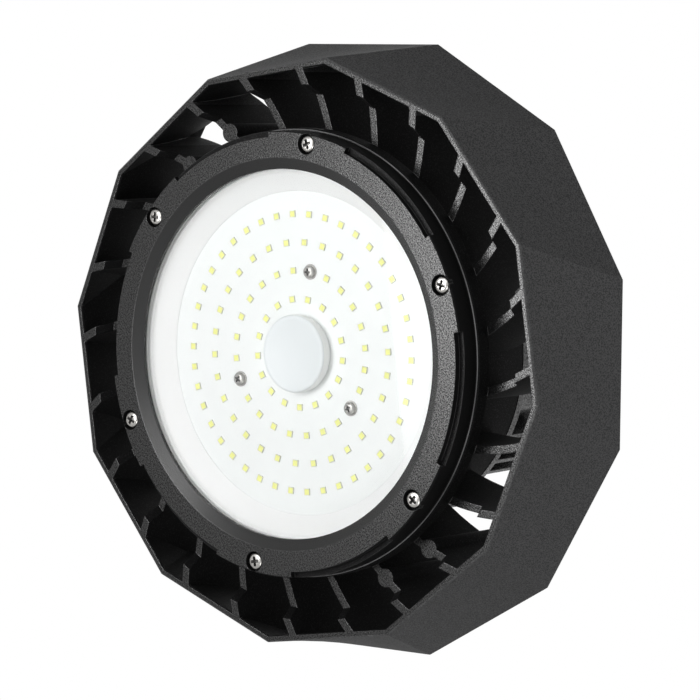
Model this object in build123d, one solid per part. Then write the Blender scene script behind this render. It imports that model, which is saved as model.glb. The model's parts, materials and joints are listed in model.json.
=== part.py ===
from build123d import *
import math
import os

os.makedirs("parts", exist_ok=True)

# High bay light, as it hangs: Z is up, the light shines down, and Z = 0 is the front face of
# the bezel. The X axis runs midway between the paired bosses on the fins. All sizes are in mm.

# Shroud: a twelve-sided wall that widens and turns as it rises
shroud_sides = 12
rim_margin = 12.7
shroud_flare = 11.0
shroud_depth = 55.0
shroud_wall = 3.0
shroud_edge_break = 0.6
rim_corner_angle = 9.0
shroud_turn = 8.8

# Fins: arcs in plan, drawn straight in depth
fin_count = 24
fin_thickness = 3.6
fin_arc_r = 135.6
fin_sweep = 24.7
fin_front_setback = 8.0
fin_bar_overhang = 8.1
fin_step = 4.3
fin_rear_overhang = 7.5

# Threaded bosses on four of the fins
boss_setback = 7.1
boss_half_angle = 7.5
boss_r = 4.3
boss_thread_r = 2.1
boss_thread_depth = 14.0

# Hub of the heat sink: front flange, plate and driver compartment
flange_margin = 1.3
flange_thickness = 8.0
flange_edge_break = 0.8
hub_plate_thickness = 8.0
hub_wall_r = 81.0
hub_wall = 4.0
wire_hole_r = 8.0

# Bezel
bezel_screw_margin = 4.7
bezel_step = 2.7
bezel_step_depth = 3.0
lip_width = 5.0
bezel_edge_break = 0.5
lip_overlap = 5.6
lip_drop = 2.8
lip_edge_thickness = 1.7
tab_half_angle = 12.8
bezel_screw_count = 6
bezel_screw_offset = 6.8
front_screw_angle = 41.0
seat_clearance = 0.4
gasket_clearance = 0.2
thread_clearance = 0.05
thread_run_out = 1.0

# Pan head screws, in shares of the head or the shank
head_round_share = 0.55
cross_slot_share = 0.24
cross_reach_share = 1.15
cross_depth_share = 0.6
shank_tip_share = 0.3

# M4 pan head screws
m4_shank_r = 1.95
m4_hole_r = 2.0
m4_clear_r = 2.3
m4_head_r = 4.0
m4_head_height = 2.8
m4_head_pocket_r = 4.7
m4_head_sink = 0.4
bezel_screw_grip = 6.0

# Cover lens, its gasket and the white ring round the board
lens_r = 89.0
lens_thickness = 3.0
lens_edge_break = 0.3
gasket_thickness = 2.0
lens_seat_width = 5.0
reflector_flange_thickness = 2.0
reflector_overlap = 2.6
reflector_wall = 1.2
reflector_foot = 1.6

# Board, its pad and its LEDs
board_edge_gap = 8.0
board_thickness = 1.6
board_setback = 4.7
board_hole_r = 6.0
pad_thickness = 0.3
pad_margin = 1.0
led_size = 3.0
led_height = 0.7
led_edge_gap = 10.4
led_cap_gap = 7.0
board_screw_count = 3
board_screw_ring = 2

# LED circles from the outside in: how many LEDs, and the angle of the first
led_rings = [(42, 36.66), (30, 34.89), (24, 41.0), (17, 42.65)]

# M3 screws of the boards
m3_shank_r = 1.45
m3_hole_r = 1.5
m3_clear_r = 1.7
m3_head_r = 2.9
m3_head_height = 1.9
m3_washer_r = 3.5
m3_washer_thickness = 0.5
board_screw_grip = 5.0

# Centre cap over the wire hole, and what it hides
cap_r = 17.6
cap_height = 5.5
cap_wall = 1.5
cap_edge_radius = 1.2
terminal_length = 5.0
terminal_width = 4.6
terminal_height = 3.4
terminal_offset = 9.0
lead_r = 1.1
lead_spacing = 5.0
lead_bend_r = 2.4
lead_lift = 2.0
grommet_wall = 2.2
grommet_lip = 2.0
grommet_lip_thickness = 1.2
grommet_clearance = 0.1

# Rear housing
housing_gasket_thickness = 1.0
housing_gasket_width = 3.0
housing_flange_thickness = 4.0
housing_setback = 16.0
housing_wall = 4.0
housing_height = 54.0
housing_top_radius = 5.0
rib_count_per_side = 4
rib_pitch_angle = 5.2
rib_first_angle = 16.0
rib_thickness = 2.0
rib_height = 42.0
rib_flange_margin = 1.0
rib_taper = 1.0
rib_corner_break = 5.0
lug_angle = 45.0
lug_count = 4
lug_width = 32.0
lug_height = 30.0
housing_screw_inset = 5.5
housing_boss_r = 5.0
housing_thread_depth = 16.0
housing_screw_grip = 12.0

# Suspension eye, with its washer and nut
eye_hole_r = 13.0
eye_ring_width = 9.0
eye_thickness = 10.0
eye_edge_radius = 2.5
eye_bore_break = 0.8
eye_collar_r = 14.0
eye_collar_height = 6.0
eye_shank_r = 4.95
eye_shank_clear_r = 5.3
eye_washer_r = 12.0
eye_washer_thickness = 1.6
eye_nut_flats = 17.0
eye_nut_height = 8.0
eye_thread_tail = 3.0
eye_pad_thickness = 1.0

# Cable gland
gland_x = -36.0
gland_flats = 24.0
gland_hex_height = 6.0
gland_thread_r = 9.9
gland_hole_r = 10.1
gland_nut_flats = 22.0
gland_nut_height = 15.0
gland_nut_taper_r = 8.5
gland_nut_lip = 3.0
gland_stem_r = 8.6
gland_stem_height = 8.0
gland_seal_r = 6.6
gland_bore_r = 4.5
gland_locknut_flats = 26.0
gland_locknut_height = 5.0
gland_tail = 9.0

# Pressure vent
vent_x = 38.0
vent_flats = 16.0
vent_height = 5.0
vent_hex_height = 2.5
vent_edge_radius = 1.2
vent_stem_r = 5.9
vent_hole_r = 6.0
vent_tail = 6.0
vent_bore_r = 2.5

# Driver inside the rear compartment
driver_board_x = 100.0
driver_board_y = 78.0
driver_board_thickness = 1.6
driver_board_corner = 4.0
standoff_height = 10.0
standoff_r = 3.0
standoff_inset = 5.0
transformer_x = 40.0
transformer_y = 14.0
transformer_height = 34.0
transformer_leg = 8.0
transformer_centre_leg = 12.0
transformer_yoke = 7.0
transformer_centre = (24.0, 12.0)
winding_clearance = 0.3
winding_depth = 28.0
winding_corner_radius = 4.0
capacitor_r = 9.0
capacitor_height = 32.0
capacitor_edge = 1.0
capacitor_places = [(-20.0, 20.0), (-40.0, 20.0)]
choke_outer_r = 12.0
choke_inner_r = 6.0
choke_height = 10.0
choke_edge_radius = 2.5
choke_centre = (26.0, -22.0)
mains_terminal_x = 24.0
mains_terminal_y = 13.0
mains_terminal_height = 15.0
mains_terminal_ways = 3
mains_terminal_bore_r = 2.2
mains_terminal_bore_depth = 8.0
mains_terminal_bore_height = 5.0
mains_terminal_screw_r = 2.4
mains_terminal_screw_depth = 6.0
mains_terminal_centre = (-28.0, -28.0)
earth_screw_place = (0.0, -57.0)
earth_boss_r = 5.0
earth_boss_height = 4.0
earth_screw_length = 6.0

# How far a shape runs on where it joins or cuts another, and how exactly an edge is looked up
run_on = 1.0
lookup_margin = 0.01

# Radii that follow from the sizes above, from the lens outwards and inwards
gasket_width = lens_seat_width - gasket_clearance
lip_edge_r = lens_r - lip_overlap
bezel_inner_r = lip_edge_r + lip_width
bezel_screw_circle_r = lens_r + bezel_screw_offset
bezel_r = bezel_screw_circle_r + bezel_screw_margin
flange_r = bezel_r + flange_margin
boss_circle_r = flange_r + boss_setback
fin_bar_end_r = boss_circle_r + fin_bar_overhang
fin_stub_r = fin_bar_end_r + fin_step
rim_corner_r = fin_stub_r + rim_margin
rear_corner_r = rim_corner_r + shroud_flare
board_recess_r = lens_r - lens_seat_width
board_r = board_recess_r - board_edge_gap
reflector_inner_r = board_r - reflector_overlap
fin_rear_r = rear_corner_r * math.cos(math.pi / shroud_sides) - shroud_wall
led_outer_r = reflector_inner_r - led_edge_gap
led_pitch = (led_outer_r - cap_r - led_cap_gap) / (len(led_rings) - 1)
board_screw_circle_r = led_outer_r - led_pitch * board_screw_ring
housing_r = hub_wall_r - housing_setback
housing_inner_r = housing_r - housing_wall
housing_screw_circle_r = hub_wall_r - hub_wall / 2 - housing_screw_inset

# Levels that follow from the sizes above
lens_front_z = lip_drop + lip_edge_thickness
lens_back_z = lens_front_z + lens_thickness
gasket_back_z = lens_back_z + gasket_thickness
rim_z = gasket_back_z + reflector_flange_thickness
fin_front_z = rim_z + fin_front_setback
shroud_rear_z = rim_z + shroud_depth
rear_z = shroud_rear_z + fin_rear_overhang
board_front_z = rim_z + board_setback
board_back_z = board_front_z + board_thickness
recess_z = board_back_z + pad_thickness
plate_back_z = recess_z + hub_plate_thickness
housing_base_z = rear_z + housing_gasket_thickness
housing_flange_z = housing_base_z + housing_flange_thickness
housing_top_z = housing_flange_z + housing_height
eye_base_z = housing_top_z + eye_collar_height
driver_board_z = plate_back_z + standoff_height
driver_top_z = driver_board_z + driver_board_thickness
eye_seat_z = housing_top_z - housing_wall - eye_pad_thickness
earth_top_z = plate_back_z + earth_boss_height


def polar(radius, angle, z=0.0):
    turn = math.radians(angle)
    return (radius * math.cos(turn), radius * math.sin(turn), z)


def disc(radius, bottom, top, x=0.0, y=0.0):
    standing = (Align.CENTER, Align.CENTER, Align.MIN)
    return Pos(x, y, bottom) * Cylinder(radius, top - bottom, align=standing)


def tube(outer, inner, bottom, top):
    return disc(outer, bottom, top) - disc(inner, bottom, top)


def block(length, width, height, x=0.0, y=0.0, bottom=0.0):
    standing = (Align.CENTER, Align.CENTER, Align.MIN)
    return Pos(x, y, bottom) * Box(length, width, height, align=standing)


def turned(points):
    """A solid turned about Z from its half section, given as radius and height pairs."""
    section = make_face(Polyline(*[(r, 0, z) for r, z in points], close=True))
    return revolve(section, Axis.Z)


def hexagon(flats, bottom, top):
    return Pos(0, 0, bottom) * extrude(RegularPolygon(flats / 2, 6, major_radius=False), top - bottom)


def edges_at(shape, z):
    circles = shape.edges().filter_by(GeomType.CIRCLE)
    return circles.filter_by_position(Axis.Z, z - lookup_margin, z + lookup_margin)


def pan_head_screw(shank_r, head_r, head_height, length):
    """Under-head face at Z = 0, head towards -Z, shank towards +Z, with a cross recess."""
    head = disc(head_r, -head_height, 0)
    head = fillet(edges_at(head, -head_height), head_height * head_round_share)
    slot = head_r * cross_slot_share
    reach = head_r * cross_reach_share
    depth = head_height * cross_depth_share
    cross = block(reach, slot, depth, bottom=-head_height)
    cross += block(slot, reach, depth, bottom=-head_height)
    shank = chamfer(edges_at(disc(shank_r, 0, length), length), shank_r * shank_tip_share)
    return head - cross + shank


def around(shape, count, radius, angle, z=0.0, turn=True):
    """Copies of a shape on a circle; each is turned to face outwards where turn is true."""
    copies = []
    for i in range(count):
        direction = angle + 360.0 / count * i
        spin = Rot(0, 0, direction if turn else 0)
        copies.append(Pos(*polar(radius, direction, z)) * spin * shape)
    return copies


# Heat sink
def shroud_polygon(radius, angle, z):
    corners = [polar(radius, angle + 360.0 / shroud_sides * i, z) for i in range(shroud_sides)]
    return make_face(Polyline(*corners, close=True))


def shroud_form(inset, edge_break):
    """The twelve-sided form that turns as it rises, its faces inset; its ends flare or taper."""
    corner_inset = inset / math.cos(math.pi / shroud_sides)
    share = abs(edge_break) / shroud_depth
    sections = []
    steps = [(0.0, edge_break), (share, 0.0), (1.0 - share, 0.0), (1.0, edge_break)]
    for part, step in steps:
        radius = rim_corner_r + (rear_corner_r - rim_corner_r) * part - corner_inset - step
        angle = rim_corner_angle + shroud_turn * part
        sections.append(shroud_polygon(radius, angle, rim_z + shroud_depth * part))
    return loft(sections, ruled=True)


def fin_outline(angle):
    """Plan of one fin: an arc that crosses the boss circle at this angle, leaning by the sweep."""
    cross_x, cross_y, _ = polar(boss_circle_r, angle)
    lean = angle - fin_sweep - 90.0
    arc_x = cross_x + fin_arc_r * math.cos(math.radians(lean))
    arc_y = cross_y + fin_arc_r * math.sin(math.radians(lean))
    reach = math.hypot(arc_x, arc_y)
    bearing = math.degrees(math.atan2(arc_y, arc_x))
    inner_r = hub_wall_r - hub_wall / 2
    ends = []
    for radius in (inner_r, rear_corner_r):
        cosine = (radius ** 2 - reach ** 2 - fin_arc_r ** 2) / (2 * reach * fin_arc_r)
        ends.append(bearing + math.degrees(math.acos(cosine)))
    start, size = ends[0], ends[1] - ends[0]
    centre = (arc_x, arc_y)
    near = CenterArc(centre, fin_arc_r - fin_thickness / 2, start, size)
    far = CenterArc(centre, fin_arc_r + fin_thickness / 2, start, size)
    return make_face([near, Line(near @ 1, far @ 1), far, Line(far @ 0, near @ 0)])


def make_heat_sink():
    first = boss_half_angle
    pitch = 360.0 / fin_count
    fins = [extrude(fin_outline(first + pitch * i), rear_z - rim_z) for i in range(fin_count)]
    fins = Pos(0, 0, rim_z) * Compound(children=[fin.solid() for fin in fins])
    relief = turned([
        (0, rim_z - run_on),
        (fin_stub_r, rim_z - run_on),
        (fin_stub_r, rim_z),
        (fin_bar_end_r, fin_front_z),
        (0, fin_front_z),
    ])
    trim = shroud_form(shroud_wall / 2, shroud_edge_break) + turned([
        (0, shroud_rear_z - run_on),
        (fin_rear_r, shroud_rear_z - run_on),
        (fin_rear_r, shroud_rear_z),
        (fin_rear_r - fin_rear_overhang, rear_z),
        (0, rear_z),
    ])
    shroud = shroud_form(0, shroud_edge_break) - shroud_form(shroud_wall, -shroud_edge_break)
    hub = turned([
        (wire_hole_r, recess_z),
        (board_recess_r, recess_z),
        (board_recess_r, rim_z),
        (flange_r - flange_edge_break, rim_z),
        (flange_r, rim_z + flange_edge_break),
        (flange_r, rim_z + flange_thickness),
        (hub_wall_r, rim_z + flange_thickness + hub_wall),
        (hub_wall_r, rear_z),
        (hub_wall_r - hub_wall, rear_z),
        (hub_wall_r - hub_wall, plate_back_z),
        (wire_hole_r, plate_back_z),
    ])
    pads = []
    for angle in (boss_half_angle, -boss_half_angle, 180 - boss_half_angle, 180 + boss_half_angle):
        pads.append(Pos(*polar(boss_circle_r, angle)) * disc(boss_r, fin_front_z, rear_z))
    inner_bosses = around(
        disc(housing_boss_r, plate_back_z, rear_z), lug_count, housing_screw_circle_r, lug_angle)
    earth_boss = disc(earth_boss_r, plate_back_z, earth_top_z, *earth_screw_place)
    fin_set = [(solid - relief).solid() for solid in (fins & trim).solids()]
    body = shroud + hub + fin_set + pads + inner_bosses + earth_boss

    holes = []
    for angle in (boss_half_angle, -boss_half_angle, 180 - boss_half_angle, 180 + boss_half_angle):
        tapped = disc(boss_thread_r, rear_z - boss_thread_depth, rear_z)
        holes.append(Pos(*polar(boss_circle_r, angle)) * tapped)
    bezel_hole = disc(m4_hole_r, rim_z, rim_z + bezel_screw_grip + thread_run_out)
    holes += around(bezel_hole, bezel_screw_count, bezel_screw_circle_r, front_screw_angle)
    board_hole = disc(m3_hole_r, recess_z, recess_z + board_screw_grip + thread_run_out)
    holes += around(board_hole, board_screw_count, board_screw_circle_r, front_screw_angle)
    housing_hole = disc(m4_hole_r, rear_z - housing_thread_depth, rear_z)
    holes += around(housing_hole, lug_count, housing_screw_circle_r, lug_angle)
    standoff_hole = disc(m3_hole_r, plate_back_z - board_screw_grip, plate_back_z)
    holes += [Pos(x, y, 0) * standoff_hole for x, y in standoff_places()]
    earth_floor = earth_top_z - earth_screw_length - thread_run_out
    holes.append(disc(m4_hole_r, earth_floor, earth_top_z, *earth_screw_place))
    return body - holes


def standoff_places():
    half_x = driver_board_x / 2 - standoff_inset
    half_y = driver_board_y / 2 - standoff_inset
    return [(sx * half_x, sy * half_y) for sx in (-1, 1) for sy in (-1, 1)]


# Front: bezel, lens, gasket and reflector
def make_bezel():
    rebate_r = lens_r + seat_clearance
    ring = turned([
        (lip_edge_r, lip_drop),
        (bezel_inner_r, 0),
        (bezel_r - bezel_edge_break, 0),
        (bezel_r, bezel_edge_break),
        (bezel_r, rim_z),
        (rebate_r, rim_z),
        (rebate_r, lens_front_z),
        (lip_edge_r, lens_front_z),
    ])
    step = tube(bezel_r + run_on, bezel_r - bezel_step, 0, bezel_step_depth)
    reach = 2 * bezel_r
    for i in range(bezel_screw_count):
        direction = front_screw_angle + 360.0 / bezel_screw_count * i
        near = polar(reach, direction - tab_half_angle)[:2]
        far = polar(reach, direction + tab_half_angle)[:2]
        wedge = Polyline((0, 0), near, far, close=True)
        step -= extrude(make_face(wedge), bezel_step_depth)
    ring -= step
    clear = disc(m4_clear_r, 0, rim_z)
    pocket = disc(m4_head_pocket_r, 0, m4_head_height + m4_head_sink)
    return ring - around(clear + pocket, bezel_screw_count, bezel_screw_circle_r, front_screw_angle)


def make_bezel_screws():
    seat = m4_head_height + m4_head_sink
    length = rim_z - seat + bezel_screw_grip
    screw = pan_head_screw(m4_shank_r, m4_head_r, m4_head_height, length)
    return around(screw, bezel_screw_count, bezel_screw_circle_r, front_screw_angle, seat)


def make_lens():
    lens = disc(lens_r, lens_front_z, lens_back_z)
    return chamfer(lens.edges().filter_by(GeomType.CIRCLE), lens_edge_break)


def make_lens_gasket():
    return tube(lens_r, lens_r - gasket_width, lens_back_z, gasket_back_z)


def make_reflector():
    flange_inner = lens_r - gasket_width
    return turned([
        (reflector_inner_r, board_front_z),
        (reflector_inner_r, board_front_z - reflector_wall / 2),
        (flange_inner - reflector_wall, gasket_back_z),
        (lens_r, gasket_back_z),
        (lens_r, rim_z),
        (board_recess_r - seat_clearance, rim_z),
        (reflector_inner_r + reflector_foot, board_front_z),
    ])


# LED board
def board_screw_places(radius):
    hole = disc(radius, board_front_z, recess_z)
    return around(hole, board_screw_count, board_screw_circle_r, front_screw_angle)


def make_led_board():
    board = tube(board_r, board_hole_r, board_front_z, board_back_z)
    return board - board_screw_places(m3_clear_r)


def make_thermal_pad():
    pad = tube(board_r - pad_margin, board_hole_r + pad_margin, board_back_z, recess_z)
    return pad - board_screw_places(m3_clear_r + pad_margin)


def make_led_ring(index):
    count, phase = led_rings[index]
    package = block(led_size, led_size, led_height, bottom=board_front_z - led_height)
    leds = around(package, count, led_outer_r - led_pitch * index, phase)
    if index == board_screw_ring:
        step = count // board_screw_count
        leds = [led for i, led in enumerate(leds) if i % step]
    return leds


def make_board_screws():
    seat = board_front_z - m3_washer_thickness
    length = recess_z - seat + board_screw_grip
    screw = pan_head_screw(m3_shank_r, m3_head_r, m3_head_height, length)
    return around(screw, board_screw_count, board_screw_circle_r, front_screw_angle, seat)


def make_board_washers():
    washer = tube(m3_washer_r, m3_clear_r, board_front_z - m3_washer_thickness, board_front_z)
    return around(washer, board_screw_count, board_screw_circle_r, front_screw_angle)


def make_centre_cap():
    front = board_front_z - cap_height
    cap = fillet(edges_at(disc(cap_r, front, board_front_z), front), cap_edge_radius)
    return cap - disc(cap_r - cap_wall, front + cap_wall, board_front_z)


def make_lead_terminals():
    terminal = block(terminal_length, terminal_width, terminal_height)
    place = terminal_offset + terminal_length / 2
    return around(terminal, 2, place, 0, board_front_z - terminal_height)


def make_lead(side):
    x = side * lead_spacing / 2
    z = board_front_z - lead_lift
    points = [(x, 0, driver_board_z), (x, 0, z), (side * terminal_offset, 0, z)]
    path = FilletPolyline(*points, radius=lead_bend_r)
    section = Plane(origin=path @ 0, z_dir=path % 0) * Circle(lead_r)
    return sweep(section, path)


def make_grommet():
    outer = wire_hole_r - grommet_clearance
    inner = outer - grommet_wall
    return turned([
        (inner, recess_z),
        (outer, recess_z),
        (outer, plate_back_z),
        (wire_hole_r + grommet_lip, plate_back_z),
        (wire_hole_r + grommet_lip, plate_back_z + grommet_lip_thickness),
        (inner, plate_back_z + grommet_lip_thickness),
    ])


# Rear housing
def make_housing_gasket():
    middle = hub_wall_r - hub_wall / 2
    half = housing_gasket_width / 2
    ring = tube(middle + half, middle - half, rear_z, housing_base_z)
    ear = disc(housing_boss_r, rear_z, housing_base_z)
    hole = disc(m4_clear_r, rear_z, housing_base_z)
    ears = around(ear, lug_count, housing_screw_circle_r, lug_angle)
    return ring + ears - around(hole, lug_count, housing_screw_circle_r, lug_angle)


def make_rib():
    """One rib in the XZ plane, its outer edge leaning in as it rises."""
    foot = hub_wall_r - rib_flange_margin
    top = housing_flange_z + rib_height
    section = make_face(Polyline(
        (housing_r - housing_wall / 2, 0, housing_flange_z - run_on),
        (foot, 0, housing_flange_z - run_on),
        (foot, 0, housing_flange_z),
        (foot - rib_taper, 0, top - rib_corner_break),
        (foot - rib_taper - rib_corner_break, 0, top),
        (housing_r - housing_wall / 2, 0, top),
        close=True,
    ))
    return extrude(section, rib_thickness / 2, both=True)


def make_rear_housing():
    shell = disc(housing_r, housing_flange_z - run_on, housing_top_z)
    shell = fillet(edges_at(shell, housing_top_z), housing_top_radius)
    flange = disc(hub_wall_r, housing_base_z, housing_flange_z)
    foot = hub_wall_r - rib_flange_margin
    lug_length = foot - lug_width / 2 - housing_inner_r
    lug = block(lug_length, lug_width, lug_height + run_on, x=foot - lug_width / 2 - lug_length / 2)
    lug += disc(lug_width / 2, 0, lug_height + run_on, x=foot - lug_width / 2)
    body = shell + flange + around(lug, lug_count, 0, lug_angle, housing_flange_z - run_on)
    rib = make_rib()
    for corner in range(lug_count):
        for side in (-1, 1):
            for number in range(rib_count_per_side):
                offset = side * (rib_first_angle + rib_pitch_angle * number)
                body += Rot(0, 0, lug_angle + 360.0 / lug_count * corner + offset) * rib
    top = housing_top_z - housing_wall
    hollow = disc(housing_inner_r, housing_base_z, top)
    clear = disc(m4_clear_r, housing_base_z, housing_flange_z)
    tunnel = disc(m4_head_r + seat_clearance, housing_flange_z, housing_flange_z + lug_height)
    body -= [hollow] + around(clear + tunnel, lug_count, housing_screw_circle_r, lug_angle)
    body += disc(eye_collar_r, eye_seat_z, housing_top_z)
    body -= disc(eye_shank_clear_r, eye_seat_z, housing_top_z)
    body -= disc(gland_hole_r, top, housing_top_z, x=gland_x)
    return body - disc(vent_hole_r, top, housing_top_z, x=vent_x)


def make_housing_screws():
    length = housing_flange_z - rear_z + housing_screw_grip
    screw = Rot(180, 0, 0) * pan_head_screw(m4_shank_r, m4_head_r, m4_head_height, length)
    return around(screw, lug_count, housing_screw_circle_r, lug_angle, housing_flange_z)


# Suspension eye
def make_eye():
    outer = eye_hole_r + eye_ring_width
    centre = eye_base_z + outer - eye_edge_radius
    ring = Cylinder(outer, eye_thickness)
    ring = fillet(ring.edges().filter_by(GeomType.CIRCLE), eye_edge_radius)
    ring -= Cylinder(eye_hole_r, eye_thickness)
    circles = ring.edges().filter_by(GeomType.CIRCLE)
    bore_edges = [e for e in circles if abs(e.radius - eye_hole_r) < lookup_margin]
    ring = Pos(0, 0, centre) * Rot(90, 0, 0) * chamfer(bore_edges, eye_bore_break)
    collar = disc(eye_collar_r, housing_top_z, eye_base_z)
    collar = fillet(edges_at(collar, eye_base_z), eye_edge_radius)
    shank_end = eye_seat_z - eye_washer_thickness - eye_nut_height - eye_thread_tail
    return collar + disc(eye_shank_r, shank_end, housing_top_z) + ring


def make_eye_washer():
    return tube(eye_washer_r, eye_shank_clear_r, eye_seat_z - eye_washer_thickness, eye_seat_z)


def make_eye_nut():
    top = eye_seat_z - eye_washer_thickness
    nut = hexagon(eye_nut_flats, top - eye_nut_height, top)
    return nut - disc(eye_shank_r + thread_clearance, 0, top)


# Cable gland and vent
def make_gland_body():
    hexed = hexagon(gland_flats, housing_top_z, housing_top_z + gland_hex_height)
    stem_top = housing_top_z + gland_hex_height + gland_stem_height
    stem = disc(gland_stem_r, housing_top_z, stem_top)
    thread = disc(gland_thread_r, housing_top_z - gland_tail, housing_top_z)
    body = hexed + stem + thread
    body -= disc(gland_bore_r, housing_top_z - gland_tail, stem_top)
    body -= disc(gland_seal_r, housing_top_z + gland_hex_height, stem_top)
    return Pos(gland_x, 0, 0) * body


def make_gland_seal():
    bottom = housing_top_z + gland_hex_height
    top = bottom + gland_nut_height - gland_nut_lip
    return Pos(gland_x, 0, 0) * tube(gland_seal_r, gland_bore_r, bottom, top)


def make_gland_nut():
    bottom = housing_top_z + gland_hex_height
    top = bottom + gland_nut_height
    nut = hexagon(gland_nut_flats, bottom, bottom + gland_stem_height)
    nut += turned([
        (0, bottom + gland_stem_height),
        (gland_nut_flats / 2, bottom + gland_stem_height),
        (gland_nut_taper_r, top),
        (0, top),
    ])
    nut -= disc(gland_stem_r + thread_clearance, bottom, bottom + gland_stem_height)
    nut -= disc(gland_seal_r + thread_clearance, bottom, top - gland_nut_lip)
    return Pos(gland_x, 0, 0) * (nut - disc(gland_bore_r, bottom, top))


def make_gland_locknut():
    top = housing_top_z - housing_wall
    nut = hexagon(gland_locknut_flats, top - gland_locknut_height, top)
    return Pos(gland_x, 0, 0) * (nut - disc(gland_thread_r + thread_clearance, 0, top))


def make_vent():
    top = housing_top_z + vent_height
    cap = hexagon(vent_flats, housing_top_z, housing_top_z + vent_hex_height)
    dome = disc(vent_flats / 2, housing_top_z, top)
    stem = disc(vent_stem_r, housing_top_z - vent_tail, housing_top_z)
    plug = cap + fillet(edges_at(dome, top), vent_edge_radius) + stem
    return Pos(vent_x, 0, 0) * (plug - disc(vent_bore_r, housing_top_z - vent_tail, housing_top_z))


# Driver
def make_driver_board():
    outline = RectangleRounded(driver_board_x, driver_board_y, driver_board_corner)
    board = Pos(0, 0, driver_board_z) * extrude(outline, driver_board_thickness)
    return board - [disc(m3_clear_r, driver_board_z, driver_top_z, x, y) for x, y in standoff_places()]


def make_standoffs():
    standoff = disc(standoff_r, plate_back_z, driver_board_z)
    standoff -= disc(m3_hole_r, driver_board_z - board_screw_grip - thread_run_out, driver_board_z)
    standoff += disc(m3_shank_r, plate_back_z - board_screw_grip + thread_run_out, plate_back_z)
    return [Pos(x, y, 0) * standoff for x, y in standoff_places()]


def make_driver_screws():
    length = driver_board_thickness + board_screw_grip
    screw = Rot(180, 0, 0) * pan_head_screw(m3_shank_r, m3_head_r, m3_head_height, length)
    return [Pos(x, y, driver_top_z) * screw for x, y in standoff_places()]


def make_transformer_core():
    x, y = transformer_centre
    core = block(transformer_x, transformer_y, transformer_height, x, y, driver_top_z)
    window_x = (transformer_x - 2 * transformer_leg - transformer_centre_leg) / 2
    window_z = transformer_height - 2 * transformer_yoke
    window_floor = driver_top_z + transformer_yoke
    shift = (transformer_centre_leg + window_x) / 2
    for side in (-1, 1):
        core -= block(window_x, transformer_y, window_z, x + side * shift, y, window_floor)
    return core


def make_transformer_winding():
    x, y = transformer_centre
    window_x = (transformer_x - 2 * transformer_leg - transformer_centre_leg) / 2
    gap = winding_clearance
    height = transformer_height - 2 * transformer_yoke - 2 * gap
    bottom = driver_top_z + transformer_yoke + gap
    outer_x = transformer_centre_leg + 2 * window_x - 2 * gap
    winding = block(outer_x, winding_depth, height, x, y, bottom)
    winding = fillet(winding.edges().filter_by(Axis.Z), winding_corner_radius)
    return winding - block(transformer_centre_leg, transformer_y, height, x, y, bottom)


def make_capacitors():
    can = disc(capacitor_r, driver_top_z, driver_top_z + capacitor_height)
    can = fillet(edges_at(can, driver_top_z + capacitor_height), capacitor_edge)
    return [Pos(x, y, 0) * can for x, y in capacitor_places]


def make_choke():
    ring = tube(choke_outer_r, choke_inner_r, driver_top_z, driver_top_z + choke_height)
    ring = fillet(ring.edges().filter_by(GeomType.CIRCLE), choke_edge_radius)
    return Pos(*choke_centre, 0) * ring


def make_mains_terminal():
    x, y = mains_terminal_centre
    terminal = block(mains_terminal_x, mains_terminal_y, mains_terminal_height, x, y, driver_top_z)
    pitch = mains_terminal_x / mains_terminal_ways
    top = driver_top_z + mains_terminal_height
    for way in range(mains_terminal_ways):
        way_x = x + pitch * (way - (mains_terminal_ways - 1) / 2)
        terminal -= disc(mains_terminal_screw_r, top - mains_terminal_screw_depth, top, way_x, y)
        bore = disc(mains_terminal_bore_r, 0, mains_terminal_bore_depth)
        entry = Pos(way_x, y - mains_terminal_y / 2, driver_top_z + mains_terminal_bore_height)
        terminal -= entry * Rot(-90, 0, 0) * bore
    return terminal


def make_earth_screw():
    screw = Rot(180, 0, 0) * pan_head_screw(m4_shank_r, m4_head_r, m4_head_height, earth_screw_length)
    return Pos(*earth_screw_place, earth_top_z) * screw


def export(name, shape):
    solids = shape if isinstance(shape, list) else [shape]
    parts = [solid for item in solids for solid in item.solids()]
    whole = parts[0] if len(parts) == 1 else Compound(children=parts)
    export_step(whole, f"parts/{name}.step")


export("heat_sink", make_heat_sink())
export("bezel_ring", make_bezel())
export("bezel_screws", make_bezel_screws())
export("cover_lens", make_lens())
export("lens_gasket", make_lens_gasket())
export("reflector_ring", make_reflector())
export("led_board", make_led_board())
export("thermal_pad", make_thermal_pad())
for ring_index in range(len(led_rings)):
    export(f"led_ring_{ring_index + 1}", make_led_ring(ring_index))
export("board_screws", make_board_screws())
export("board_screw_washers", make_board_washers())
export("centre_cap", make_centre_cap())
export("lead_terminals", make_lead_terminals())
export("output_lead_positive", make_lead(1))
export("output_lead_negative", make_lead(-1))
export("lead_grommet", make_grommet())
export("housing_gasket", make_housing_gasket())
export("rear_housing", make_rear_housing())
export("housing_screws", make_housing_screws())
export("suspension_eye", make_eye())
export("eye_washer", make_eye_washer())
export("eye_nut", make_eye_nut())
export("cable_gland_body", make_gland_body())
export("cable_gland_seal", make_gland_seal())
export("cable_gland_nut", make_gland_nut())
export("cable_gland_locknut", make_gland_locknut())
export("vent_plug", make_vent())
export("driver_board", make_driver_board())
export("driver_standoffs", make_standoffs())
export("driver_board_screws", make_driver_screws())
export("transformer_core", make_transformer_core())
export("transformer_winding", make_transformer_winding())
export("bulk_capacitors", make_capacitors())
export("filter_choke", make_choke())
export("mains_terminal", make_mains_terminal())
export("earth_screw", make_earth_screw())
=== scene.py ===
import json
import math

import bpy
from mathutils import Matrix, Vector


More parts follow.
